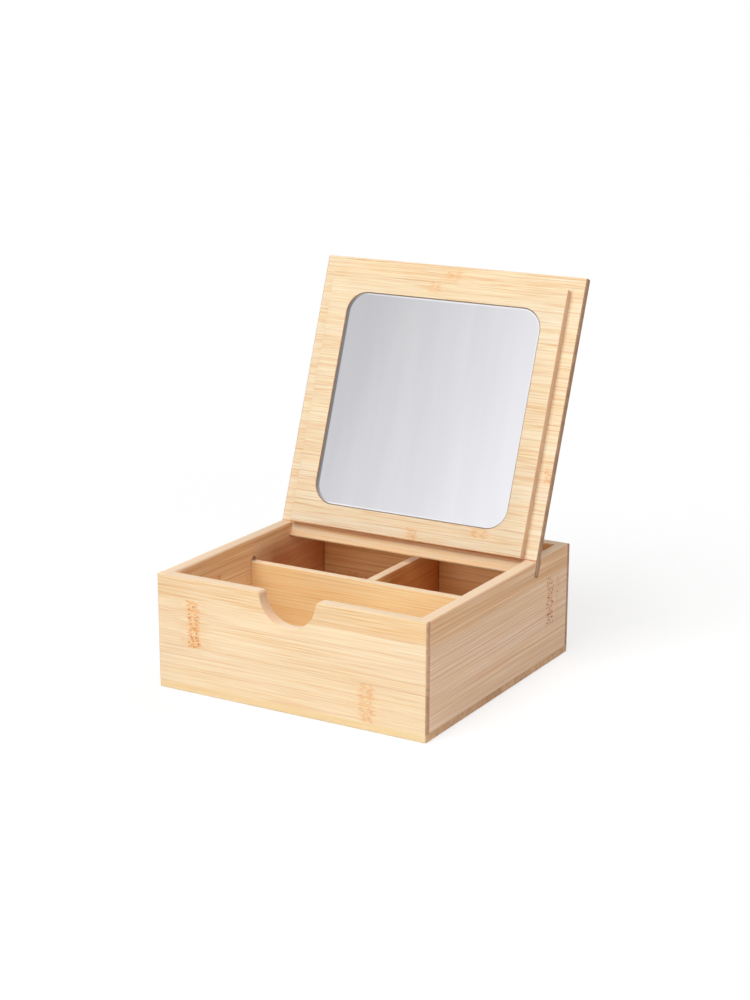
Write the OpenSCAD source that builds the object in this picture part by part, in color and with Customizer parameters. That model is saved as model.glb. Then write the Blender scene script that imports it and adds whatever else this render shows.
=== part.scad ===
// Bamboo vanity box with a mirror in its lift-off lid. Millimetres, Z up.
// The origin is the middle of the underside. The front faces -Y.
// The four walls are glued on the bottom board. The front and rear walls are rabbeted at
// their ends, and each leaves a thin lip over the ends of the side walls. The lid is one board
// with a rebate milled all round, so that its raised field drops inside the walls when it lies
// flat. To stand it up as a mirror, its rebated edge goes into slanted slots in the side walls.

/* [Box] */
// Width of the box across its front
box_w = 185; // [160:1:240]
// Depth of the box from front to rear
box_d = 185; // [160:1:240]
// Height of the rim above the table
box_h = 72; // [60:1:110]

/* [Boards] */
// Thickness of the four walls
wall_t = 8; // [6:0.5:11]
// Thickness of the bottom board
base_t = 5; // [3:0.5:8]
// Thickness of the two dividers
divider_t = 6; // [4:0.5:9]
// Width of the sanded bevel along the outer edges
arris = 0.7; // [0.3:0.1:1.2]

/* [Corner joints] */
// Thickness of the lip that a rabbet leaves over the end of a side wall
lip_t = 3.5; // [2:0.25:5]

/* [Dividers] */
// Drop of the dividers' tops below the rim
divider_drop = 15; // [12:1:30]
// Place of the long divider, from the middle towards the rear
long_divider_y = 0; // [-25:1:8]
// Place of the short divider, from the middle towards the right
short_divider_x = 0; // [-50:1:50]
// Depth of the stopped grooves that hold the dividers
groove_deep = 2.5; // [1:0.25:4]
// Play of a divider in its groove, on each side and at its end
groove_play = 0.1; // [0.05:0.05:0.3]

/* [Finger notch] */
// Radius of the half-round notch in the front wall
notch_r = 19.5; // [12:0.5:30]
// Radius of the rounded shoulders where the notch meets the rim
shoulder_r = 2.5; // [1:0.5:6]

/* [Lid] */
// Thickness of the lid at its rebated edge
lid_rim_t = 5; // [3.5:0.5:7]
// Rise of the lid's field above the rebate
field_h = 5; // [3:0.5:8]
// Play between the field and the walls when the lid lies flat
field_play = 1.2; // [0.5:0.1:2.5]
// Width of the sanded bevel round the field
field_arris = 0.4; // [0.2:0.1:0.8]

/* [Lid stand] */
// Lean of the standing lid, in degrees from upright
lean = 20; // [12:1:28]
// Distance from the rear face to the middle of the slots, at the rim
slot_setback = 44.4; // [38:0.2:56]
// Depth of the slots, measured along their slant
slot_deep = 10.6; // [8:0.2:13]
// Play of the lid in its slots, on each face
slot_play = 0.4; // [0.2:0.1:1]
// Gap between the lid's lower edge and the bottom of the slots
seat_gap = 0.3; // [0.1:0.1:0.6]

/* [Mirror] */
// Width of the wood between the edge of the field and the mirror's pocket
mirror_border = 14; // [8:0.2:24]
// Rise of the mirror above the middle of the lid
mirror_rise = 0.7; // [-3:0.1:3]
// Corner radius of the pocket
pocket_r = 14; // [6:0.5:24]
// Gap between the glass and the wall of its pocket
glass_gap = 0.6; // [0.3:0.1:1.2]
// Thickness of the silvered glass
glass_t = 2; // [1.5:0.5:3]
// Depth of the glass face below the face of the field
glass_sink = 0.7; // [0.3:0.1:1.5]

/* [Adhesive] */
// Thickness of the double-sided foam tape behind the glass
tape_t = 0.5; // [0.3:0.1:1]
// Width of one strip of tape
tape_w = 20; // [10:1:30]
// Number of strips
tape_count = 3; // [2:1:4]
// Distance of the strips from the edges of the glass
tape_inset = 14; // [10:1:24]

/* [Hidden] */
$fn = 64;

// Reach of a cutting body past the faces that it cuts
past = 1;
// Overlap of the rounds in the finger notch's outline
roll_lap = 0.02;
board_colour = [0.90, 0.76, 0.55];
end_colour = [0.70, 0.57, 0.43];
inside_colour = [0.80, 0.58, 0.36];
lid_colour = [0.93, 0.80, 0.60];
glass_colour = [0.83, 0.84, 0.86];
tape_colour = [0.93, 0.93, 0.90];

wall_h = box_h - base_t;
inner_w = box_w - 2 * wall_t;
inner_d = box_d - 2 * wall_t;
divider_top = box_h - divider_drop;
groove_w = divider_t + 2 * groove_play;
tenon_l = groove_deep - groove_play;

slot_w = lid_rim_t + 2 * slot_play;
slot_y = box_d / 2 - slot_setback;
// Length of slot cutter above the rim, so that its slanted end clears the rim
slot_rise = slot_w;

// The lid covers the box when it lies flat
lid_w = box_w;
lid_l = box_d;
lid_low = seat_gap - slot_deep;
rebate_w = wall_t + field_play;
field_w = lid_w - 2 * rebate_w;
field_l = lid_l - 2 * rebate_w;
field_face = lid_rim_t / 2 + field_h;

pocket_w = field_w - 2 * mirror_border;
pocket_l = field_l - 2 * mirror_border;
pocket_floor = field_face - glass_sink - glass_t - tape_t;
glass_w = pocket_w - 2 * glass_gap;
glass_l = pocket_l - 2 * glass_gap;
tape_l = glass_l - 2 * tape_inset;
tape_pitch = (glass_w - 2 * tape_inset - tape_w) / (tape_count - 1);

// A rectangle about the origin with its four corners cut off at 45 degrees
module cut_rect(w, h, c) {
    x = w / 2;
    y = h / 2;
    polygon([
        [-x + c, -y], [x - c, -y], [x, -y + c], [x, y - c],
        [x - c, y], [-x + c, y], [-x, y - c], [-x, -y + c]
    ]);
}

// A rectangle about the origin with round corners
module round_rect(w, h, r) {
    square([w - 2 * r, h], center = true);
    square([w, h - 2 * r], center = true);
    for (sx = [-1, 1], sy = [-1, 1])
        translate([sx * (w / 2 - r), sy * (h / 2 - r)]) circle(r);
}

// A board about the origin with a bevel of width c along all twelve edges
module eased_board(w, l, t, c) {
    intersection() {
        linear_extrude(t, center = true) cut_rect(w, l, c);
        rotate([90, 0, 0]) linear_extrude(l, center = true) cut_rect(w, t, c);
        rotate([90, 0, 90]) linear_extrude(w, center = true) cut_rect(l, t, c);
    }
}

// The outer form of the glued box, sanded along its edges
module box_form() {
    translate([0, 0, box_h / 2]) eased_board(box_w, box_d, box_h, arris);
}

// What sanding takes off the inner edge of the rim, as a flared plug in the opening
module rim_flare() {
    intersection() {
        rotate([90, 0, 0]) linear_extrude(box_d, center = true) flare_profile(inner_w);
        rotate([90, 0, 90]) linear_extrude(box_w, center = true) flare_profile(inner_d);
    }
}

module flare_profile(opening) {
    x = opening / 2;
    polygon([
        [-x, box_h - arris], [x, box_h - arris],
        [x + arris + past, box_h + past], [-x - arris - past, box_h + past]
    ]);
}

// Plan of a wall that runs the full width and is rabbeted at both ends, front edge at y = 0
module rabbeted_plan() {
    x = box_w / 2;
    polygon([
        [-x, 0], [x, 0], [x, lip_t], [x - wall_t, lip_t],
        [x - wall_t, wall_t], [-x + wall_t, wall_t], [-x + wall_t, lip_t], [-x, lip_t]
    ]);
}

// A front or rear wall as it stands on the bottom board, sanded with the box
module rabbeted_wall() {
    difference() {
        intersection() {
            box_form();
            translate([0, -box_d / 2, base_t]) linear_extrude(wall_h) rabbeted_plan();
        }
        rim_flare();
    }
}

// A side wall between the two lips, on the right
module plain_side_wall() {
    length = box_d - 2 * lip_t;
    difference() {
        intersection() {
            box_form();
            translate([inner_w / 2, -length / 2, base_t]) cube([wall_t, length, wall_h]);
        }
        rim_flare();
    }
}

// Groove for a divider's end, milled into a face at x = 0 towards +X and stopped by the
// round of the cutter above the divider's top
module stopped_groove() {
    rotate([90, 0, 90]) linear_extrude(groove_deep) {
        translate([-groove_w / 2, base_t - past])
            square([groove_w, divider_top - base_t + past]);
        translate([0, divider_top]) circle(groove_w / 2);
    }
}

// Outline of the finger notch about the middle of the rim: a half round whose shoulders
// roll over into the rim. Each shoulder's round laps the half round and the rim by a hair,
// so that the three cross cleanly instead of only touching.
module notch_outline() {
    reach = notch_r + shoulder_r - roll_lap;
    roll_y = roll_lap - shoulder_r;
    roll_x = sqrt(pow(reach, 2) - pow(roll_y, 2));
    touch_y = roll_y * notch_r / reach;
    difference() {
        union() {
            circle(notch_r);
            translate([-roll_x, touch_y]) square([2 * roll_x, past - touch_y]);
        }
        for (side = [-1, 1])
            translate([side * roll_x, roll_y]) circle(shoulder_r);
    }
}

// Frame of the standing lid: X across, Y up along the lid, Z out of its face, with the origin
// where the middle of the slots crosses the rim
module in_stand() {
    translate([0, slot_y, box_h]) rotate([90 - lean, 0, 0]) children();
}

// The same frame moved to the middle of the lid
module in_lid() {
    in_stand() translate([0, lid_low + lid_l / 2, 0]) children();
}

// One pass of the cutter across both side walls
module slot_cut() {
    in_stand()
        translate([-box_w / 2 - past, -slot_deep, -slot_w / 2])
            cube([box_w + 2 * past, slot_deep + slot_rise, slot_w]);
}

module base_panel() {
    color(end_colour)
        intersection() {
            box_form();
            translate([-box_w / 2, -box_d / 2, 0]) cube([box_w, box_d, base_t]);
        }
}

module front_wall() {
    color(board_colour)
        difference() {
            rabbeted_wall();
            translate([0, -inner_d / 2 + past, box_h])
                rotate([90, 0, 0]) linear_extrude(wall_t + 2 * past) notch_outline();
        }
}

module rear_wall() {
    color(board_colour)
        difference() {
            mirror([0, 1, 0]) rabbeted_wall();
            translate([short_divider_x, inner_d / 2, 0]) rotate([0, 0, 90]) stopped_groove();
        }
}

module side_wall() {
    difference() {
        plain_side_wall();
        translate([inner_w / 2, long_divider_y, 0]) stopped_groove();
        slot_cut();
    }
}

module left_wall() {
    color(board_colour) mirror([1, 0, 0]) side_wall();
}

module right_wall() {
    color(end_colour) side_wall();
}

module long_divider() {
    length = inner_w + 2 * tenon_l;
    color(inside_colour)
        translate([-length / 2, long_divider_y - divider_t / 2, base_t])
            cube([length, divider_t, divider_top - base_t]);
}

module short_divider() {
    from_y = long_divider_y + divider_t / 2;
    to_y = inner_d / 2 + tenon_l;
    color(inside_colour)
        translate([short_divider_x - divider_t / 2, from_y, base_t])
            cube([divider_t, to_y - from_y, divider_top - base_t]);
}

module lid_board() {
    color(lid_colour)
        in_lid() difference() {
            union() {
                eased_board(lid_w, lid_l, lid_rim_t, arris);
                // The lower half of this block is inside the rebated edge
                translate([0, 0, field_face / 2])
                    eased_board(field_w, field_l, field_face, field_arris);
            }
            translate([0, mirror_rise, pocket_floor])
                linear_extrude(field_face) round_rect(pocket_w, pocket_l, pocket_r);
        }
}

module mirror_plate() {
    color(glass_colour)
        in_lid() translate([0, mirror_rise, pocket_floor + tape_t])
            linear_extrude(glass_t) round_rect(glass_w, glass_l, pocket_r - glass_gap);
}

module mirror_tape() {
    color(tape_colour)
        in_lid() translate([-glass_w / 2 + tape_inset, mirror_rise - tape_l / 2, pocket_floor])
            for (i = [0 : tape_count - 1])
                translate([i * tape_pitch, 0, 0]) cube([tape_w, tape_l, tape_t]);
}

base_panel();
front_wall();
rear_wall();
left_wall();
right_wall();
long_divider();
short_divider();
lid_board();
mirror_plate();
mirror_tape();
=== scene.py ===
"""Bamboo vanity box with a mirror in its lift-off lid: the finishes, in metres, in the frame
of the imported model. The sections follow the box as it is put together."""

from dataclasses import dataclass
from functools import reduce
from math import cos, radians, sin
from typing import NamedTuple

import bmesh
import bpy
from mathutils import Matrix, Vector


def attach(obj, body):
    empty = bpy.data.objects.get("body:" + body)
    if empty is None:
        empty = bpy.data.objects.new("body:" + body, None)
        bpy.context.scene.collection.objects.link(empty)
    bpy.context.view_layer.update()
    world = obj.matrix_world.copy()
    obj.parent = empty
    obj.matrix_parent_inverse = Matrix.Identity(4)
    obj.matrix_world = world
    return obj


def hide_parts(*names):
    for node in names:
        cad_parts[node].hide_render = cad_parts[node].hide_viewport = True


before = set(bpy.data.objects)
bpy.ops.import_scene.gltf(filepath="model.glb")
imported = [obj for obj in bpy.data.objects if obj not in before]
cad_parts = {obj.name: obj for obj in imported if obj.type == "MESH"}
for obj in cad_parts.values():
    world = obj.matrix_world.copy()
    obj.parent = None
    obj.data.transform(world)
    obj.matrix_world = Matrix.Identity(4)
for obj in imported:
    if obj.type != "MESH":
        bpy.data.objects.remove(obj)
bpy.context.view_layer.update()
mm = 0.001


# Bottom board
# The real piece is a 5 mm board of laminated bamboo strips, sanded flush with the walls that
# are glued on it. Its long grain runs from left to right, so its end grain, which is darker
# and full of small pores, shows as a band along the foot of the left and right sides.

EASED_EDGE = 0.28 * mm  # what hand sanding takes off the two edges of a bevelled arris
GLUED_EDGE = 0.11 * mm  # the hairline that stays where two boards meet
WIDEST_EDGE = 0.7 * mm  # the roundness of each edge is given as a share of this
SHARP_TURN = radians(25)  # faces that turn by less belong to one rounded face
SQUARE_TURN = radians(70)  # and an edge that turns by less is that of a bevel


def tone(red, green, blue):
    """A colour as a picture shows it, 0 to 255, as the linear colour of a shader."""
    return tuple(
        c / 12.92 if c <= 0.04045 else ((c + 0.055) / 1.055) ** 2.4
        for c in (red / 255, green / 255, blue / 255)
    ) + (1.0,)


def machined_shape(node):
    """A copy of a node's solid, with its loose triangles joined into whole faces."""
    shape = bmesh.new()
    shape.from_mesh(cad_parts[node].data)
    bmesh.ops.remove_doubles(shape, verts=shape.verts, dist=0.004 * mm)
    bmesh.ops.dissolve_limit(
        shape, angle_limit=radians(0.4), verts=shape.verts, edges=shape.edges
    )
    return shape


def as_piece(shape, name):
    """Puts a finished shape into the scene as a piece of its own."""
    mesh = bpy.data.meshes.new(name)
    shape.to_mesh(mesh)
    shape.free()
    piece = bpy.data.objects.new(name, mesh)
    bpy.context.scene.collection.objects.link(piece)
    return piece


def settle(piece):
    """Turns what the modifiers make into the piece's own plain mesh."""
    evaluated = piece.evaluated_get(bpy.context.evaluated_depsgraph_get())
    mesh = bpy.data.meshes.new_from_object(evaluated)
    old = piece.data
    piece.modifiers.clear()
    piece.data = mesh
    mesh.name = piece.name
    bpy.data.meshes.remove(old)


def sanded_board(name, node, edge_width=None):
    """A machined board with each sharp edge rounded: by EASED_EDGE along a bevel, by GLUED_EDGE
    where it is square, and where edge_width is given, by what it says for the middle of the
    edge and that width, all in millimetres."""
    shape = machined_shape(node)
    share = shape.edges.layers.float.new("bevel_weight_edge")
    for edge in shape.edges:
        turn = edge.calc_face_angle(0.0)
        if turn < SHARP_TURN:
            continue
        if not edge.is_convex:
            edge.smooth = False
            continue
        width = EASED_EDGE if turn < SQUARE_TURN else GLUED_EDGE
        if edge_width:
            middle = (edge.verts[0].co + edge.verts[1].co) / 2 / mm
            width = edge_width(middle, width / mm) * mm
        edge[share] = width / WIDEST_EDGE
    for face in shape.faces:
        face.smooth = True
    board = as_piece(shape, name)
    bevel = board.modifiers.new("sanding", "BEVEL")
    bevel.width = WIDEST_EDGE
    bevel.limit_method = "WEIGHT"
    bevel.segments = 2
    bevel.use_clamp_overlap = True
    bevel.miter_outer = "MITER_SHARP"
    bevel.harden_normals = True
    settle(board)
    return board


class NodeBench:
    """Places nodes in a tree, which it clears first."""

    def __init__(self, tree):
        self.tree = tree
        tree.nodes.clear()

    def put(self, kind, sockets=None, **settings):
        """A new node. A shader node is named by the last part of its type. Each socket takes a
        value, or the output of another node, which is then linked to it."""
        made = self.tree.nodes.new(kind if "Node" in kind else "ShaderNode" + kind)
        for key, value in settings.items():
            setattr(made, key, value)
        for key, value in (sockets or {}).items():
            if isinstance(value, bpy.types.NodeSocket):
                self.tree.links.new(value, made.inputs[key])
            else:
                made.inputs[key].default_value = value
        return made

    def calc(self, operation, *values, clamp=False):
        sockets = dict(enumerate(values))
        return self.put("Math", sockets, operation=operation, use_clamp=clamp).outputs[0]

    def total(self, first, second):
        return self.calc("ADD", first, second)

    def product(self, first, second):
        return self.calc("MULTIPLY", first, second)

    def larger(self, first, second):
        return self.calc("MAXIMUM", first, second)

    def smaller(self, first, second):
        return self.calc("MINIMUM", first, second)

    def distance(self, value, place):
        return self.calc("ABSOLUTE", self.calc("SUBTRACT", value, place))

    def centred(self, value, amount):
        """A value about a half, such as noise, that swings about zero by an amount instead."""
        return self.product(self.calc("SUBTRACT", value, 0.5), amount)

    def spread(self, value, low, high, out_low=0.0, out_high=1.0, smooth=False):
        """A value between low and high, as one between out_low and out_high."""
        made = self.put(
            "MapRange",
            {0: value, 1: low, 2: high, 3: out_low, 4: out_high},
            clamp=True,
            interpolation_type="SMOOTHSTEP" if smooth else "LINEAR",
        )
        return made.outputs[0]

    def mixed(self, share, first, second, how="MIX"):
        sockets = {0: share, 6: first, 7: second}
        return self.put("Mix", sockets, data_type="RGBA", blend_type=how).outputs[2]

    def ramp(self, level, tones):
        """The colour at a level of a ramp of (place, tone)."""
        made = self.put("ValToRGB", {0: level})
        stops = made.color_ramp.elements
        while len(stops) < len(tones):
            stops.new(0.5)
        for stop, (at, colour) in zip(stops, tones):
            stop.position = at
            stop.color = colour
        return made.outputs[0]

    def moved(self, vector, **shift):
        by = self.put("CombineXYZ", shift).outputs[0]
        return self.put("VectorMath", {0: vector, 1: by}, operation="ADD").outputs[0]

    def scaled(self, vector, by):
        return self.put("VectorMath", {0: vector, 1: by}, operation="MULTIPLY").outputs[0]

    def noise(self, vector, along, across, detail=2.0, roughness=0.5):
        """Noise stretched along the grain. along and across are features per millimetre."""
        stretched = self.scaled(vector, (along, across, across))
        sockets = {"Vector": stretched, "Scale": 1.0, "Detail": detail, "Roughness": roughness}
        return self.put("TexNoise", sockets).outputs[0]

    def object_point(self):
        return self.put("TexCoord").outputs["Object"]

    def board_point(self, turn, centre):
        """The point in a board's own directions, in millimetres from the board's centre."""
        made = self.put(
            "Mapping",
            {
                "Vector": self.object_point(),
                "Location": [c * mm for c in centre],
                "Rotation": [radians(a) for a in turn],
                "Scale": (mm, mm, mm),
            },
            vector_type="TEXTURE",
        )
        return made.outputs[0]

    def coat(self, **sockets):
        """The surface of a material, from the sockets of its shader, _ for a space."""
        named = {key.replace("_", " "): value for key, value in sockets.items()}
        surface = self.put("BsdfPrincipled", named)
        self.put("OutputMaterial", {"Surface": surface.outputs[0]})


def new_material(name):
    """A new material, and the bench that places its nodes."""
    material = bpy.data.materials.new(name)
    material.use_nodes = True
    return material, NodeBench(material.node_tree)


# Turns from the world to a board: X along its grain, Y across its strips, Z through it
FLAT = (0, 0, 0)
UPRIGHT = (90, 0, 0)
SIDEWAYS = (90, 0, 90)

FACE_TONES = (
    (0.08, tone(227, 180, 126)),
    (0.30, tone(236, 201, 155)),
    (0.50, tone(242, 217, 181)),
    (0.72, tone(246, 228, 199)),
    (0.94, tone(248, 236, 213)),
)
END_TONES = ((0.22, tone(190, 144, 110)), (0.72, tone(219, 176, 141)))
HARD_FIBRE = tone(228, 182, 143)
GLUE_LINE = tone(214, 162, 122)
INWARD_PAINTED_SHADE = tone(255, 253, 246)  # painted shade: faces that look into the box are made warmer and darker, for the bounced light and shade inside it
REAR_PAINTED_SHADE = tone(217, 172, 143)  # painted shade: darker still low in the rear compartments, which the lid shades
CREASE = tone(112, 58, 32)  # the hairline of shadow and glue in an inner corner
UP_FACING_PAINTED_LIGHT = tone(248, 225, 196)  # painted light: faces that look up are made lighter

# A knot, from the outside in
KNOT_STREAK = tone(235, 185, 135)
KNOT_PALE = tone(253, 234, 198)
KNOT_CORE = tone(245, 197, 132)
KNOT_DASH = tone(232, 160, 94)
KNOT_RING = tone(222, 150, 98)
KNOT_SPECK = tone(170, 66, 20)


class Knot(NamedTuple):
    """The joint ring of a culm, in millimetres in the board's own directions."""

    at: float  # along the grain
    low: float  # across the board, from here
    high: float  # to here
    half: float  # half its width along the grain
    stain: float
    specks: float


@dataclass
class Bamboo:
    """Laminated bamboo under a satin clear lacquer. Places and widths are in millimetres, in
    the board's own directions."""

    name: str
    turn: tuple
    centre: tuple = (0, 0, 0)
    seed: float = 0.0
    joints: tuple = ()  # (place across the board where a wide strip ends, change of level)
    pitch: float = 0.0  # the mean width of narrow strips, where there are no joints
    strip_change: float = 0.24  # how far the levels of narrow strips differ
    level: float = 0.5  # the board's place on its ramp of tones, before its grain
    contrast: float = 1.0
    run: float = 1.0  # stretches the streaks
    broad: float = 1.0  # strengthens the wide bands
    lined: float = 0.45  # strengthens the thin lines of hard fibre
    inner_shade: float = 0.0  # painted shade over the whole board, as on faces that look into the box
    rear_shade: float = 0.0  # how much more painted shade low in the rear compartments
    knots: tuple = ()
    knot_grain: tuple = (0.24, 1.1)  # dashes per millimetre, along and across
    speck_pitch: float = 1.6
    creases: tuple = ()  # places along the grain where another board meets the inner face
    low_strip: tuple = None  # (place across below which the strips differ, tone with painted light, tone of painted shadow)
    lit_end_grain: tuple = None  # (distance from the middle within which end grain is made paler as painted light, tone)
    face_tones: tuple = FACE_TONES
    end_tones: tuple = END_TONES

    def material(self):
        """The finish, built up as the board is: strips, grain, knots, painted shade and light,
        cuts and lacquer.
        """
        material, self.bench = new_material(self.name)
        self.local = self.bench.board_point(self.turn, self.centre)
        separated = self.bench.put("SeparateXYZ", {0: self.local})
        self.along, self.across, self.through = separated.outputs
        self.lay_strips()
        self.grow_knots()
        colour = self.long_grain()
        if self.low_strip:
            colour = self.with_low_strip(colour)
        colour = self.with_glue_lines(colour)
        if self.knots:
            colour = self.with_knots(colour)
        colour = self.with_painted_shade_and_light(colour)
        end = self.end_share()
        colour = self.bench.mixed(end, colour, self.end_grain())
        self.lacquer(colour, end)
        return material

    def lay_strips(self):
        """Each strip has its own number, from which its tone and its piece of grain follow."""
        bench, level = self.bench, self.level
        if self.pitch:
            place = bench.total(bench.calc("DIVIDE", self.across, self.pitch), 40.0 + self.seed)
            cell = {"W": place, "Scale": 1.0, "Randomness": 0.7}
            strip = bench.put("TexVoronoi", cell, voronoi_dimensions="1D")
            red = bench.put("SeparateColor", {0: strip.outputs["Color"]}).outputs[0]
            number = bench.product(red, 60.0)
            edge = bench.put(
                "TexVoronoi", cell, voronoi_dimensions="1D", feature="DISTANCE_TO_EDGE"
            )
            self.seam_gap = bench.product(edge.outputs["Distance"], self.pitch)
        else:
            number = bench.total(0.0, self.seed)
            for joint, change in self.joints:
                beyond = bench.calc("GREATER_THAN", self.across, joint)
                number = bench.total(number, beyond)
                level = bench.calc("MULTIPLY_ADD", beyond, change, level)
            gaps = [bench.distance(self.across, joint) for joint, change in self.joints]
            self.seam_gap = reduce(bench.smaller, gaps)
        luck = bench.put("TexWhiteNoise", {"W": number}, noise_dimensions="1D").outputs
        self.strip_luck = luck["Value"]
        self.strip_hue = bench.put("SeparateColor", {0: luck["Color"]}).outputs[1]
        if self.pitch:
            level = bench.total(bench.centred(self.strip_luck, self.strip_change), level)
        self.number, self.strip_level = number, level
        self.own = bench.moved(
            self.local,
            X=bench.product(number, 37.3),
            Z=bench.calc("MULTIPLY_ADD", number, 13.7, self.seed * 5.1),
        )

    def grow_knots(self):
        """Where the knots are. The grain wanders a little, and much more beside a knot."""
        bench, own = self.bench, self.own

        def mask(distance, full, none, strength, rows):
            share = bench.spread(distance, full, none, strength, 0.0, smooth=True)
            return bench.product(share, rows)

        cores, halos, specks, rings = [], [], [], []
        for at, low, high, half, stain, speck in self.knots:
            above = bench.calc("GREATER_THAN", self.across, low)
            rows = bench.product(above, bench.calc("LESS_THAN", self.across, high))
            ragged = bench.centred(bench.noise(own, 0.05, 0.80, 3.0, 0.65), 3.0 * half)
            from_knot = bench.total(bench.calc("SUBTRACT", self.along, at), ragged)
            gap = bench.calc("ABSOLUTE", from_knot)
            flames = bench.total(gap, bench.centred(bench.noise(own, 0.02, 0.55), 9.0 * half))
            ring_gap = bench.distance(gap, 0.55 * half)
            cores.append(mask(gap, 0.6 * half, 1.4 * half, stain, rows))
            specks.append(mask(gap, 0.7 * half, 1.1 * half, speck, rows))
            halos.append(mask(flames, 0.6 * half, 4.0 * half, stain, rows))
            rings.append(mask(ring_gap, 0.08 * half, 0.30 * half, stain, rows))
        wander = bench.centred(bench.noise(own, 0.006, 0.04), 1.0)
        if self.knots:
            self.core = reduce(bench.larger, cores)
            self.halo = reduce(bench.larger, halos)
            self.specks = reduce(bench.larger, specks)
            self.ring = reduce(bench.larger, rings)
            swirl = bench.centred(bench.noise(own, 0.17, 0.30), 5.0)
            wander = bench.total(wander, bench.product(swirl, self.halo))
        self.bent = bench.moved(own, Y=wander)

    def long_grain(self):
        """Wide bands, streaks a millimetre wide and single fibres set the level on the ramp.
        Thin pinkish lines lie where hard fibres reach the surface, and the hue drifts."""
        bench = self.bench

        def streaks(along, across, detail=1.0):
            return bench.noise(self.bent, along / self.run, across, detail)

        hair = streaks(0.035, 3.0)
        fleck = streaks(0.030, 1.35)
        bands = bench.noise(self.bent, 0.008 / self.run, 0.22)
        self.fibre = streaks(0.010, 1.65)
        self.streak = streaks(0.014, 0.70)
        swings = (
            (bands, 0.42 * self.broad),
            (self.streak, 0.45 * self.broad),
            (self.fibre, 0.75),
            (fleck, 0.60),
            (hair, 0.42),
        )
        grain = reduce(bench.total, [bench.centred(value, by) for value, by in swings])
        level = bench.calc("MULTIPLY_ADD", grain, self.contrast, self.strip_level)
        colour = bench.ramp(level, self.face_tones)

        start = 0.60 - 0.08 * self.lined
        hard = bench.spread(streaks(0.008, 1.5, 2.0), start, start + 0.09, 0.0, self.lined)
        colour = bench.mixed(hard, colour, HARD_FIBRE)
        drift = bench.spread(bench.noise(self.own, 0.009, 0.07), 0.38, 0.62)
        colour = bench.mixed(drift, colour, tone(255, 252, 245), "MULTIPLY")
        hue = bench.product(self.strip_hue, 0.35)
        return bench.mixed(hue, colour, tone(254, 249, 243), "MULTIPLY")

    def with_low_strip(self, colour):
        """The strip that stands in the slots is warmer, and lighter as painted light, with dark
        fibres as painted shadow next to its joint, just below the raised field.
        """
        bench = self.bench
        place, strip_tone, shadow_fibre_tone = self.low_strip
        below = bench.spread(self.across, place - 0.1, place + 0.1, 1.0, 0.0)
        share = bench.product(below, bench.spread(self.streak, 0.36, 0.62, 0.85, 0.25))
        colour = bench.mixed(share, colour, strip_tone)
        # painted shadow: dark fibres in a band just below the joint, under the raised field
        near = bench.spread(self.across, place - 4.6, place - 1.0, smooth=True)
        fibres = bench.spread(bench.noise(self.bent, 0.010, 1.5), 0.42, 0.58, 0.2, 0.9)
        share = bench.product(bench.product(near, below), fibres)
        return bench.mixed(share, colour, shadow_fibre_tone)

    def with_glue_lines(self, colour):
        """The line between two strips comes and goes."""
        bench = self.bench
        seam = bench.spread(self.seam_gap, 0.12, 0.45, 1.0, 0.0, smooth=True)
        comes = bench.spread(bench.noise(self.own, 0.02, 0.08), 0.46, 0.60)
        share = bench.product(seam, bench.product(comes, 0.5))
        return bench.mixed(share, colour, GLUE_LINE)

    def with_knots(self, colour):
        """Streaks and pale wood round a knot, then its core, dashes, broken ring and specks."""
        bench, own = self.bench, self.own
        warm = bench.product(self.halo, bench.spread(self.streak, 0.42, 0.62, 0.0, 0.7))
        colour = bench.mixed(warm, colour, KNOT_STREAK)
        patches = bench.spread(bench.noise(self.bent, 0.07, 0.5), 0.52, 0.66, 0.0, 0.7)
        colour = bench.mixed(bench.product(self.halo, patches), colour, KNOT_PALE)
        colour = bench.mixed(bench.product(self.core, 0.58), colour, KNOT_CORE)
        dashes = bench.spread(bench.noise(own, *self.knot_grain, 2.0, 0.6), 0.50, 0.62)
        colour = bench.mixed(bench.product(self.core, dashes), colour, KNOT_DASH)
        breaks = bench.spread(bench.noise(own, 0.10, 0.75, 1.0), 0.44, 0.56)
        colour = bench.mixed(bench.product(self.ring, breaks), colour, KNOT_RING)

        size = (1.0 / self.speck_pitch, 1.1 / self.speck_pitch, 1.1 / self.speck_pitch)
        cells = {"Vector": bench.scaled(own, size), "Scale": 1.0, "Randomness": 1.0}
        dots = bench.put("TexVoronoi", cells).outputs
        red = bench.put("SeparateColor", {0: dots["Color"]}).outputs[0]
        kept = bench.spread(red, 0.30, 0.65)
        dot = bench.product(bench.spread(dots["Distance"], 0.18, 0.44, 1.0, 0.0), self.specks)
        return bench.mixed(bench.calc("MULTIPLY", dot, kept, clamp=True), colour, KNOT_SPECK)

    def with_painted_shade_and_light(self, colour):
        """Painted shade: faces that look into the box are made warmer and darker, those low in
        the rear compartments the most, with hairlines of glue and painted shade in the inner
        corners.
        Painted light: faces that look up are made lighter."""
        bench = self.bench
        normal = bench.put("SeparateXYZ", {0: bench.put("TexCoord").outputs["Normal"]}).outputs
        point = bench.put("SeparateXYZ", {0: bench.object_point()}).outputs
        sideways = bench.product(normal[0], point[0])
        outward = bench.calc("MULTIPLY_ADD", normal[1], point[1], sideways)
        # painted shade: faces that look into the box, or a whole board given it, turn warmer
        # and darker
        inward_shade = bench.larger(bench.spread(outward, -70 * mm, -20 * mm, 1.0, 0.0), self.inner_shade)
        # painted light on faces that look up, which also get no painted shade
        rim = bench.spread(normal[2], 0.80, 0.97)
        not_rim = bench.calc("SUBTRACT", 1.0, rim)
        colour = bench.mixed(bench.product(inward_shade, not_rim), colour, INWARD_PAINTED_SHADE, "MULTIPLY")
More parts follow.
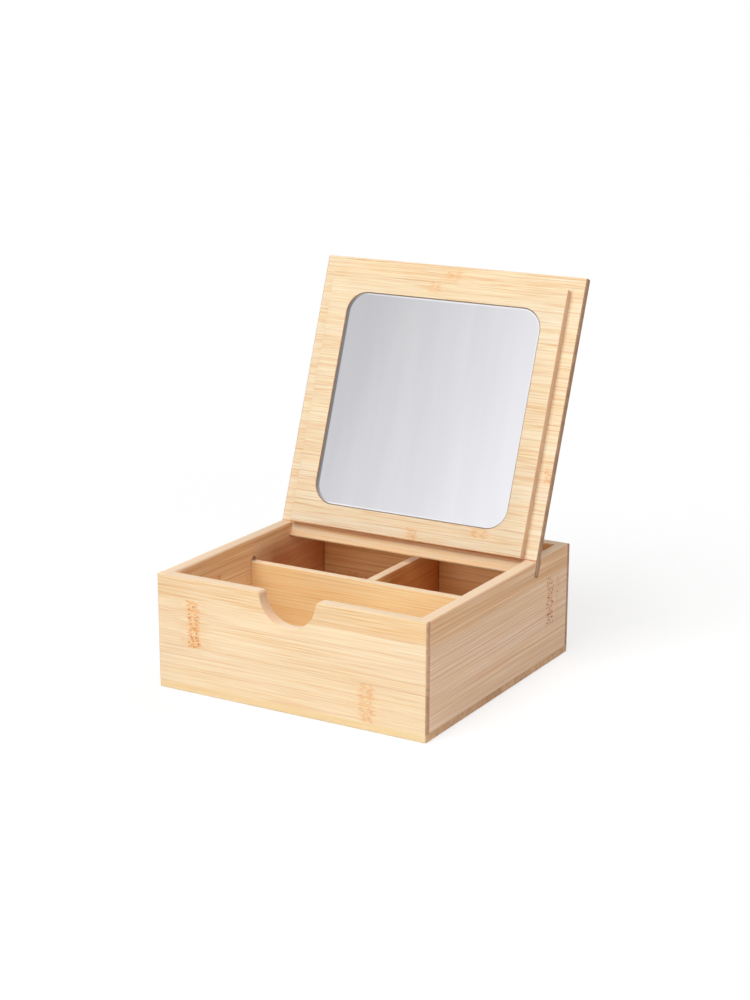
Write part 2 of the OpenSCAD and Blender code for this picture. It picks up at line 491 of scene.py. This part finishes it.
        # painted shade low in the rear compartments, under the lid
        if self.rear_shade:
            below_rim = bench.spread(point[2], 68 * mm, 52 * mm)
            low = bench.product(below_rim, bench.spread(point[1], 4 * mm, 24 * mm))
            low = bench.product(bench.product(low, self.rear_shade), inward_shade)
            colour = bench.mixed(low, colour, REAR_PAINTED_SHADE, "MULTIPLY")
        # hairlines of glue and painted shade where another board meets an inner face
        for place in self.creases:
            gap = bench.distance(self.along, place)
            dark = bench.product(bench.spread(gap, 0.15, 0.75, 0.8, 0.0, smooth=True), inward_shade)
            colour = bench.mixed(dark, colour, CREASE)
        # painted light: faces that look up are made lighter
        return bench.mixed(bench.product(rim, 0.7), colour, UP_FACING_PAINTED_LIGHT)

    def end_share(self):
        """Where the surface is cut across the grain."""
        bench = self.bench
        normal = bench.put("TexCoord").outputs["Normal"]
        turned = bench.put(
            "VectorRotate",
            {"Vector": normal, "Rotation": [radians(a) for a in self.turn]},
            rotation_type="EULER_XYZ",
            invert=True,
        )
        facing = bench.put("SeparateXYZ", {0: turned.outputs[0]}).outputs[0]
        return bench.spread(bench.calc("ABSOLUTE", facing), 0.30, 0.62, smooth=True)

    def end_grain(self):
        """Darker, with a pore for each bundle of fibres, a tone for each strip, and where it is
        given, painted light that makes it paler near the middle of the board.
        """
        bench = self.bench
        strip = bench.product(self.number, 0.37)
        cut = bench.put("CombineXYZ", {0: strip, 1: self.across, 2: self.through}).outputs[0]
        pores = bench.put("TexVoronoi", {"Vector": cut, "Scale": 1.5, "Randomness": 0.9})
        cloud = bench.put("TexNoise", {"Vector": cut, "Scale": 0.30, "Detail": 3.0}).outputs[0]
        level = bench.total(bench.centred(self.strip_luck, 0.30), cloud)
        pore = bench.spread(pores.outputs["Distance"], 0.18, 0.40, 0.14, 0.0)
        colour = bench.ramp(bench.calc("SUBTRACT", level, pore), self.end_tones)
        # painted light: end grain near the middle of the board is made paler, where more light
        # falls
        if self.lit_end_grain:
            distance, lit_end_tone = self.lit_end_grain
            from_middle = bench.calc("ABSOLUTE", self.along)
            near = bench.spread(from_middle, distance, distance + 0.5, 0.8, 0.0)
            colour = bench.mixed(near, colour, lit_end_tone)
        return colour

    def lacquer(self, colour, end):
        """A satin coat that the fibres and the streaks still show through."""
        bench = self.bench
        soaked = bench.total(self.fibre, bench.product(end, 0.3))
        relief = bench.total(bench.product(self.fibre, 0.6), bench.product(self.streak, 0.4))
        bump = bench.put("Bump", {"Strength": 0.18, "Distance": 0.12 * mm, "Height": relief})
        bench.coat(
            Base_Color=colour,
            Roughness=bench.spread(soaked, 0.3, 1.0, 0.46, 0.66),
            Normal=bump.outputs[0],
            IOR=1.46,
            Specular_IOR_Level=0.22,
        )


def fitted(piece, material, body, node):
    """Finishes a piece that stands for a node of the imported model."""
    piece.data.materials.clear()
    piece.data.materials.append(material)
    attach(piece, body)
    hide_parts(node)


bottom_board = sanded_board("bottom_board", "base_panel")
bottom_bamboo = Bamboo(
    "bottom_board_bamboo",
    FLAT,
    pitch=21.0,
    seed=3.0,
    face_tones=(
        (0.10, tone(229, 193, 144)),
        (0.40, tone(236, 208, 160)),
        (0.90, tone(243, 223, 184)),
    ),
    # painted light: end grain paler than the other boards', against the shade near the table
    end_tones=((0.22, tone(204, 158, 119)), (0.72, tone(236, 193, 152))),
)
fitted(bottom_board, bottom_bamboo.material(), "box", "base_panel")


# Front wall
# An 8 mm board glued from three wide strips with the grain along the front. A half-round
# finger notch is cut in its upper edge. Rabbets at both ends leave a 3.5 mm lip over the ends
# of the side walls, and that lip's end grain shows as a thin darker line on each side.

WIDE_JOINTS = ((28.8, -0.02), (58.7, -0.17))
NOTCH_REACH = 24  # millimetres, sideways from the middle of the wall
NOTCH_FLOOR = 45  # and up from the table, a little below the notch
NOTCH_EDGE = 0.35
HAIRLINE = 0.2  # an edge rounded by less than this has no ease of its own


def notch_edge(point, width):
    """The notch is eased by hand, so its edges are rounder than the joints."""
    near = abs(point.x) < NOTCH_REACH and point.z > NOTCH_FLOOR
    return NOTCH_EDGE if near and width < HAIRLINE else width


front_board = sanded_board("front_board", "front_wall", notch_edge)
front_bamboo = Bamboo(
    "front_wall_bamboo",
    UPRIGHT,
    joints=WIDE_JOINTS,
    seed=1.0,
    level=0.57,
    broad=0.55,
    # painted light: the end grain of the notch is made paler
    lit_end_grain=(40, tone(252, 213, 174)),
    speck_pitch=1.7,
    knots=(
        Knot(-66.5, 29.2, 58.5, 3.9, stain=0.75, specks=0.75),
        Knot(53.5, 5.0, 28.8, 5.0, stain=0.36, specks=0.25),
    ),
)
fitted(front_board, front_bamboo.material(), "box", "front_wall")


# Rear wall
# The same board as the front, without the notch, turned so that its lips face the rear. A
# stopped groove in its inner face takes the end of the short divider. Dark hairlines show
# where that divider and the side walls meet it.

rear_board = sanded_board("rear_board", "rear_wall")
rear_bamboo = Bamboo(
    "rear_wall_bamboo",
    UPRIGHT,
    joints=WIDE_JOINTS,
    seed=5.0,
    level=0.58,
    contrast=1.2,
    broad=0.8,
    lined=0.9,
    creases=(-84.5, -3.0, 3.0, 84.5),
    knots=(
        Knot(-62.0, 5.0, 30.8, 4.0, stain=0.4, specks=1.2),
        Knot(76.0, 28.8, 58.6, 4.0, stain=0.6, specks=0.5),
    ),
    face_tones=(
        (0.08, tone(232, 174, 116)),
        (0.30, tone(243, 195, 145)),
        (0.50, tone(251, 210, 167)),
        (0.72, tone(255, 221, 184)),
        (0.94, tone(255, 230, 200)),
    ),
    end_tones=((0.22, tone(168, 124, 96)), (0.72, tone(194, 152, 123))),
)
fitted(rear_board, rear_bamboo.material(), "box", "rear_wall")


# Side walls
# Two plain 8 mm boards between the lips of the front and rear walls, with the grain from
# front to rear. Each has a slanted slot cut from the rim for the standing lid, and a stopped
# groove in its inner face, whose round end stays open above the long divider.

SIDE_JOINTS = ((26.6, -0.02), (57.2, -0.18))
SIDE_TONES = (
    (0.08, tone(226, 168, 120)),
    (0.30, tone(240, 196, 154)),
    (0.50, tone(247, 211, 177)),
    (0.72, tone(253, 225, 199)),
    (0.94, tone(255, 236, 216)),
)
SLOT_TONES = ((0.22, tone(206, 160, 130)), (0.72, tone(234, 194, 164)))
LEFT_KNOTS = (Knot(-41.0, 27.0, 57.2, 4.2, stain=0.5, specks=0.8),)
RIGHT_KNOTS = (
    Knot(65.4, 27.0, 57.2, 4.3, stain=0.2, specks=5.0),
    Knot(75.5, 27.0, 57.2, 3.0, stain=0.1, specks=0.8),
)
for side, side_seed, side_knots in (
    ("left", 9.0, LEFT_KNOTS),
    ("right", 7.0, RIGHT_KNOTS),
):
    side_board = sanded_board(side + "_board", side + "_wall")
    side_bamboo = Bamboo(
        side + "_wall_bamboo",
        SIDEWAYS,
        joints=SIDE_JOINTS,
        seed=side_seed,
        level=0.56,
        contrast=1.1,
        run=1.6,
        broad=0.4,
        lined=0.95,
        # painted shade low in the rear compartments
        rear_shade=1.0,
        knots=side_knots,
        speck_pitch=1.35,
        face_tones=SIDE_TONES,
        end_tones=SLOT_TONES,
    )
    fitted(side_board, side_bamboo.material(), "box", side + "_wall")


# Dividers
# Two 6 mm boards standing on the bottom board. The long one runs from side to side in the
# grooves of the side walls, and the short one from its middle to the rear wall's groove.

DIVIDER_JOINTS = ((31.0, 0.04),)
DIVIDER_TOP = 56.5  # only edges above this are sanded, in millimetres
DIVIDER_EDGE = 0.3
DIVIDER_TONES = (
    (0.08, tone(232, 172, 108)),
    (0.30, tone(245, 200, 140)),
    (0.50, tone(251, 216, 164)),
    (0.72, tone(254, 226, 180)),
    (0.94, tone(255, 233, 194)),
)


def divider_edge(point, width):
    """Only the upper edges of a divider are sanded."""
    return DIVIDER_EDGE if point.z > DIVIDER_TOP else width


for divider, turn, divider_seed, divider_level in (
    ("long_divider", UPRIGHT, 11.0, 0.60),
    # the short divider's low level paints its whole board darker, as painted shade under the
    # lid
    ("short_divider", SIDEWAYS, 13.0, 0.36),
):
    divider_board = sanded_board(divider + "_board", divider, divider_edge)
    divider_bamboo = Bamboo(
        divider + "_bamboo",
        turn,
        joints=DIVIDER_JOINTS,
        seed=divider_seed,
        level=divider_level,
        # painted shade over the whole divider, which stands inside the box
        inner_shade=1.0,
        # painted shade low in the rear compartments
        rear_shade=1.0,
        face_tones=DIVIDER_TONES,
    )
    fitted(divider_board, divider_bamboo.material(), "box", divider)


# Lid
# One 10 mm board of narrow strips on edge, with the grain from left to right. A rebate milled
# all round leaves a raised field that drops between the walls when the lid lies flat, and a
# pocket with round corners in the field holds the mirror. Here it stands in its slots.

LID_LEAN = 20
LID_FOOT = (0, 48.1, 72)  # millimetres, where the middle of the slots crosses the rim
LID_TURN = (90 - LID_LEAN, 0, 0)
LID_EDGES = (0.15, 0.20)  # millimetres, the least and the most that its edges are rounded


def lid_edge(point, width):
    """The lid is handled most, and its field and pocket are eased by hand."""
    least, most = LID_EDGES
    return min(max(width, least), most)


lid_panel = sanded_board("lid_panel", "lid_board", lid_edge)
lid_bamboo = Bamboo(
    "lid_bamboo",
    LID_TURN,
    centre=LID_FOOT,
    pitch=5.6,
    seed=17.0,
    level=0.57,
    contrast=1.15,
    run=0.6,
    knots=(
        Knot(-8.0, 155.5, 163.0, 4.6, stain=0.25, specks=0.15),
        Knot(2.0, 163.0, 173.0, 5.4, stain=0.25, specks=0.1),
        Knot(6.0, -1.0, 7.0, 4.2, stain=0.36, specks=0.2),
        Knot(53.0, 7.5, 13.5, 5.5, stain=0.38, specks=0.2),
        Knot(90.0, 47.0, 56.0, 2.8, stain=0.36, specks=0.4),
    ),
    knot_grain=(0.12, 1.2),
    # the low strip: warmer and lighter as painted light, with dark fibres as painted shadow
    low_strip=(-0.3, tone(255, 214, 162), tone(206, 138, 96)),
    # painted light: the sides of the raised field and the pocket are made paler than the lid's
    # ends
    lit_end_grain=(84, tone(247, 208, 172)),
    face_tones=(
        (0.08, tone(224, 180, 134)),
        (0.30, tone(234, 203, 165)),
        (0.50, tone(240, 220, 190)),
        (0.72, tone(243, 229, 205)),
        (0.94, tone(245, 235, 215)),
    ),
    end_tones=((0.22, tone(166, 126, 95)), (0.72, tone(196, 156, 124))),
)
fitted(lid_panel, lid_bamboo.material(), "lid", "lid_board")


# Mirror
# A 2 mm plate of silvered float glass with round corners and a narrow bevel polished all round
# its face, wider along its left edge, where a grey hatch of painted reflection lies on it. It
# lies in its pocket a little below the face of the field, with a narrow gap of shadow all
# round.

BEVEL_WIDE = 1.0 * mm
BEVEL_DEEP = 0.14 * mm
LEFT_WIDER = 0.8 * mm  # what the bevel gains along the left edge
LEFT_FADE = 13.3 * mm  # and loses again round the corners
FLAT_FACING = 0.9985  # the cosine of the least lean of the bevel
CORNER_STEP = radians(11)  # the facets of a round corner turn by less


def mirror_glass():
    """The plate with its bevel: the face has the first material, then bevel and edge."""
    shape = machined_shape("mirror_plate")
    outward = Vector((0, -cos(radians(LID_LEAN)), sin(radians(LID_LEAN))))
    front = [f for f in shape.faces if f.normal.dot(outward) > 0.99]
    ring = bmesh.ops.inset_region(
        shape, faces=front, thickness=BEVEL_WIDE, use_even_offset=True
    )
    inner = {v for f in front for v in f.verts}
    outer = {v for f in ring["faces"] for v in f.verts} - inner
    for vert in outer:
        vert.co -= outward * BEVEL_DEEP
    leftmost = min(v.co.x for v in inner)
    for vert in inner:
        toward_left = 1 - (vert.co.x - leftmost) / LEFT_FADE
        vert.co.x += LEFT_WIDER * max(0.0, toward_left)
    shape.normal_update()
    for face in shape.faces:
        facing = face.normal.dot(outward)
        face.material_index = 0 if facing > FLAT_FACING else 1 if facing > 0.5 else 2
        face.smooth = abs(facing) < FLAT_FACING
    for edge in shape.edges:
        edge.smooth = edge.calc_face_angle(0.0) < CORNER_STEP
    return as_piece(shape, "mirror_glass")


def silvering():
    """Silver behind clear glass, with the faint upright traces of a wiping cloth."""
    material, bench = new_material("silvered_face")
    local = bench.board_point(LID_TURN, LID_FOOT)
    wipe = bench.spread(bench.noise(local, 0.055, 0.006), 0.35, 0.65)
    haze = bench.noise(local, 0.03, 0.03, 3.0)
    bench.coat(
        Base_Color=bench.mixed(wipe, tone(238, 237, 241), tone(243, 243, 245)),
        Metallic=1.0,
        Roughness=bench.spread(haze, 0.4, 0.7, 0.02, 0.05),
    )
    return material


def polished_bevel():
    """Bright, with the marks of the wheel, and a grey hatch of painted reflection where it
    faces left.
    """
    material, bench = new_material("polished_bevel")
    local = bench.object_point()
    wheel = bench.put("TexNoise", {"Vector": local, "Scale": 620.0, "Detail": 1.0}).outputs[0]
    hatch = bench.put("TexNoise", {"Vector": local, "Scale": 560.0, "Detail": 1.0}).outputs[0]
    clear = bench.mixed(bench.spread(wheel, 0.4, 0.6), tone(176, 181, 180), tone(246, 247, 247))
    # painted reflection: a dark grey hatch on the bevel where it faces left
    painted_reflection = bench.mixed(bench.spread(hatch, 0.46, 0.56), tone(70, 71, 67), tone(238, 240, 237))
    sideways = bench.put("SeparateXYZ", {0: bench.put("TexCoord").outputs["Normal"]}).outputs[0]
    left = bench.spread(sideways, -0.07, -0.04, 1.0, 0.0)
    bench.coat(
        Base_Color=bench.mixed(left, clear, painted_reflection),
        Metallic=1.0,
        Roughness=bench.spread(wheel, 0.3, 0.7, 0.04, 0.12),
    )
    return material


def ground_edge():
    """The grey, matt edge of the plate."""
    material, bench = new_material("ground_glass_edge")
    sockets = {"Vector": bench.object_point(), "Scale": 900.0, "Detail": 3.0}
    cloud = bench.put("TexNoise", sockets).outputs[0]
    bench.coat(
        Base_Color=bench.mixed(cloud, tone(112, 122, 118), tone(168, 176, 172)),
        Roughness=bench.spread(cloud, 0.3, 0.7, 0.25, 0.5),
        IOR=1.5,
    )
    return material


glass = mirror_glass()
fitted(glass, silvering(), "lid", "mirror_plate")
glass.data.materials.append(polished_bevel())
glass.data.materials.append(ground_edge())


# Adhesive
# Three strips of double-sided foam tape hold the glass in its pocket. They stay hidden behind
# it, and are cut from one roll, so a single strip is repeated across the pocket.

TAPE = {
    "Count": 3,
    "Pitch": 44.7 * mm,
    "Width": 20 * mm,
    "Length": 109.4 * mm,
    "Thickness": 0.5 * mm,
    "Corner": 0.8 * mm,
}
TAPE_PLACE = (0, 82.9 * mm, 4.3 * mm)  # on the pocket's floor, in the lid's own directions
SOCKET_KINDS = {"Count": "NodeSocketInt", "Material": "NodeSocketMaterial"}


def foam():
    """Matt closed-cell foam."""
    material, bench = new_material("closed_cell_foam")
    sockets = {"Vector": bench.object_point(), "Scale": 4200.0}
    cells = bench.put("TexVoronoi", sockets).outputs["Distance"]
    bump = bench.put("Bump", {"Strength": 0.3, "Distance": 0.05 * mm, "Height": cells})
    shade = bench.spread(cells, 0.1, 0.6)
    bench.coat(
        Base_Color=bench.mixed(shade, tone(214, 213, 206), tone(240, 240, 235)),
        Roughness=0.9,
        Normal=bump.outputs[0],
    )
    return material


def strip_layout():
    """The tree that makes one strip with round corners and repeats it side by side, and the
    identifiers of its named inputs."""
    tree = bpy.data.node_groups.new("tape_strips", "GeometryNodeTree")
    tree.is_modifier = True
    identifiers = {}
    for label in list(TAPE) + ["Material"]:
        kind = SOCKET_KINDS.get(label, "NodeSocketFloat")
        made = tree.interface.new_socket(label, in_out="INPUT", socket_type=kind)
        identifiers[label] = made.identifier
    tree.interface.new_socket("Strips", in_out="OUTPUT", socket_type="NodeSocketGeometry")
    bench = NodeBench(tree)
    given = bench.put("NodeGroupInput").outputs

    def made_by(kind, sockets, **settings):
        return bench.put("GeometryNode" + kind, sockets, **settings).outputs[0]

    outline = made_by(
        "CurvePrimitiveQuadrilateral", {"Width": given["Width"], "Height": given["Length"]}
    )
    corners = {"Curve": outline, "Radius": given["Corner"], "Count": 4}
    rounded = made_by("FilletCurve", corners, mode="POLY")
    sheet = made_by("FillCurve", {"Curve": rounded}, mode="NGONS")
    thick = {"Mesh": sheet, "Offset Scale": given["Thickness"], "Individual": False}
    joined = bench.put("GeometryNodeJoinGeometry")
    for half in (made_by("ExtrudeMesh", thick), made_by("FlipFaces", {"Mesh": sheet})):
        tree.links.new(half, joined.inputs[0])
    strip = made_by("MergeByDistance", {"Geometry": joined.outputs[0], "Distance": 0.001 * mm})

    gaps = bench.calc("SUBTRACT", given["Count"], 1.0)
    first = bench.product(bench.product(gaps, -0.5), given["Pitch"])
    start = bench.put("CombineXYZ", {0: first}).outputs[0]
    step = bench.put("CombineXYZ", {0: given["Pitch"]}).outputs[0]
    line = {"Count": given["Count"], "Start Location": start, "Offset": step}
    row = made_by("MeshLine", line)
    copies = made_by("InstanceOnPoints", {"Points": row, "Instance": strip})
    real = made_by("RealizeInstances", {"Geometry": copies})
    finished = made_by("SetMaterial", {"Geometry": real, "Material": given["Material"]})
    bench.put("NodeGroupOutput", {0: finished})
    return tree, identifiers


def tape_strips(material):
    """The strips on the floor of the pocket."""
    tree, identifiers = strip_layout()
    strips = bpy.data.objects.new("tape_strips", bpy.data.meshes.new("tape_strips"))
    bpy.context.scene.collection.objects.link(strips)
    layout = strips.modifiers.new("layout", "NODES")
    layout.node_group = tree
    for label, value in TAPE.items():
        layout[identifiers[label]] = value
    layout[identifiers["Material"]] = material
    settle(strips)
    strips.data.transform(
        Matrix.Translation([c * mm for c in LID_FOOT])
        @ Matrix.Rotation(radians(LID_TURN[0]), 4, "X")
        @ Matrix.Translation(TAPE_PLACE)
    )
    return strips


foam_finish = foam()
fitted(tape_strips(foam_finish), foam_finish, "lid", "mirror_tape")


# Studio
# A plain white table in an even white surround. A large soft lamp stands above the front left,
# with weaker ones low in front, overhead and behind, and a reflector on the right.

TABLE_SIZE = 60
TABLE_DROP = 0.2 * mm  # the table stays clear of the underside of the box
SHADOW_REACH = (0.16, 0.75)  # metres from the middle: full shadow to here, none from there
WHITE = (1, 1, 1, 1)
LAMP_TARGET = (0, 0, 0.08)
LAMPS = (  # name, place, width, watts
    ("key_lamp", (-0.43, -1.91, 3.02), 2.2, 80),
    ("low_lamp", (-0.9, -3.2, 1.0), 1.6, 23),
    ("top_lamp", (0.0, -0.6, 3.2), 1.6, 9),
    ("rear_lamp", (0.45, 1.65, 2.46), 1.5, 23),
    ("side_reflector", (1.9, -1.3, 1.2), 1.0, 9),
)


def studio_floor():
    """White, with a soft shadow near the box, and pure white further off. The box itself is
    lit by it as by white paper."""
    bpy.ops.mesh.primitive_plane_add(size=TABLE_SIZE, location=(0, 0, -TABLE_DROP))
    floor = bpy.context.object
    floor.name = "studio_floor"
    material, bench = new_material("white_table")
    put = bench.put
    reach = put("VectorMath", {0: bench.object_point()}, operation="LENGTH").outputs["Value"]
    far = bench.spread(reach, *SHADOW_REACH, smooth=True)
    paper = put("BsdfDiffuse", {"Color": (0.93, 0.93, 0.93, 1)}).outputs[0]
    shadowed = put("BsdfDiffuse", {"Color": (0.34, 0.34, 0.34, 1)}).outputs[0]
    lift = put("Emission", {"Color": WHITE, "Strength": 0.70}).outputs[0]
    near = put("AddShader", {0: shadowed, 1: lift}).outputs[0]
    white = put("Emission", {"Color": WHITE, "Strength": 1.0}).outputs[0]
    shown = put("MixShader", {0: far, 1: near, 2: white}).outputs[0]
    path = put("LightPath").outputs
    seen = bench.larger(path["Is Camera Ray"], path["Is Glossy Ray"])
    both = put("MixShader", {0: seen, 1: paper, 2: shown}).outputs[0]
    put("OutputMaterial", {"Surface": both})
    floor.data.materials.append(material)


def studio_surround():
    """An even surround. Metal and glass see it white, and grey towards the left, where the
    wall behind the lamps is darker."""
    world = bpy.data.worlds.new("studio_surround")
    bpy.context.scene.world = world
    world.use_nodes = True
    bench = NodeBench(world.node_tree)
    put = bench.put
    towards = put("SeparateXYZ", {0: put("TexCoord").outputs["Generated"]}).outputs
    side, up = towards[0], towards[2]
    grey = bench.calc("MULTIPLY_ADD", side, 3.92, 3.21)
    grey = bench.calc("MULTIPLY_ADD", up, -1.42, grey)
    ceiling = bench.spread(up, 0.46, 0.62, 0.0, 0.5)
    grey = bench.smaller(bench.total(bench.larger(grey, 0.26), ceiling), 1.0)
    path = put("LightPath").outputs
    fill = put("Background", {"Color": WHITE, "Strength": 0.09}).outputs[0]
    white = put("Background", {"Color": WHITE, "Strength": 1.0}).outputs[0]
    mirrored = put("Background", {"Color": (0.985, 0.985, 1, 1), "Strength": grey}).outputs[0]
    glossy = bench.larger(path["Is Glossy Ray"], path["Is Transmission Ray"])
    first = put("MixShader", {0: glossy, 1: fill, 2: mirrored}).outputs[0]
    last = put("MixShader", {0: path["Is Camera Ray"], 1: first, 2: white}).outputs[0]
    put("OutputWorld", {"Surface": last})


def soft_lamp(name, place, width, watts):
    """A square lamp that looks at the box, and that the mirror doesn't show."""
    light = bpy.data.lights.new(name, "AREA")
    light.shape = "SQUARE"
    light.size = width
    light.energy = watts
    lamp = bpy.data.objects.new(name, light)
    bpy.context.scene.collection.objects.link(lamp)
    lamp.location = place
    aim = Vector(LAMP_TARGET) - Vector(place)
    lamp.rotation_euler = aim.to_track_quat("-Z", "Y").to_euler()
    lamp.visible_glossy = False


studio_floor()
studio_surround()
for lamp in LAMPS:
    soft_lamp(*lamp)


# Camera
# At the front right and a little above, where the photograph was taken from. Its place and
# angles were solved from the edges of the box in the photograph.

CAMERA_PLACE = (0.61875, -1.04978, 0.43735)
CAMERA_HEADING = 30.328  # degrees to the left of straight ahead
CAMERA_DIP = 17.409
CAMERA_ROLL = 0.191

camera_data = bpy.data.cameras.new("photo_camera")
camera_data.sensor_width = 36
camera_data.lens = 74.70
camera_data.shift_y = 0.0837
camera = bpy.data.objects.new("photo_camera", camera_data)
bpy.context.scene.collection.objects.link(camera)
camera.matrix_world = (
    Matrix.Translation(CAMERA_PLACE)
    @ Matrix.Rotation(radians(CAMERA_HEADING), 4, "Z")
    @ Matrix.Rotation(radians(90 - CAMERA_DIP), 4, "X")
    @ Matrix.Rotation(radians(CAMERA_ROLL), 4, "Z")
)
bpy.context.scene.camera = camera
bpy.context.scene.view_settings.view_transform = "Standard"
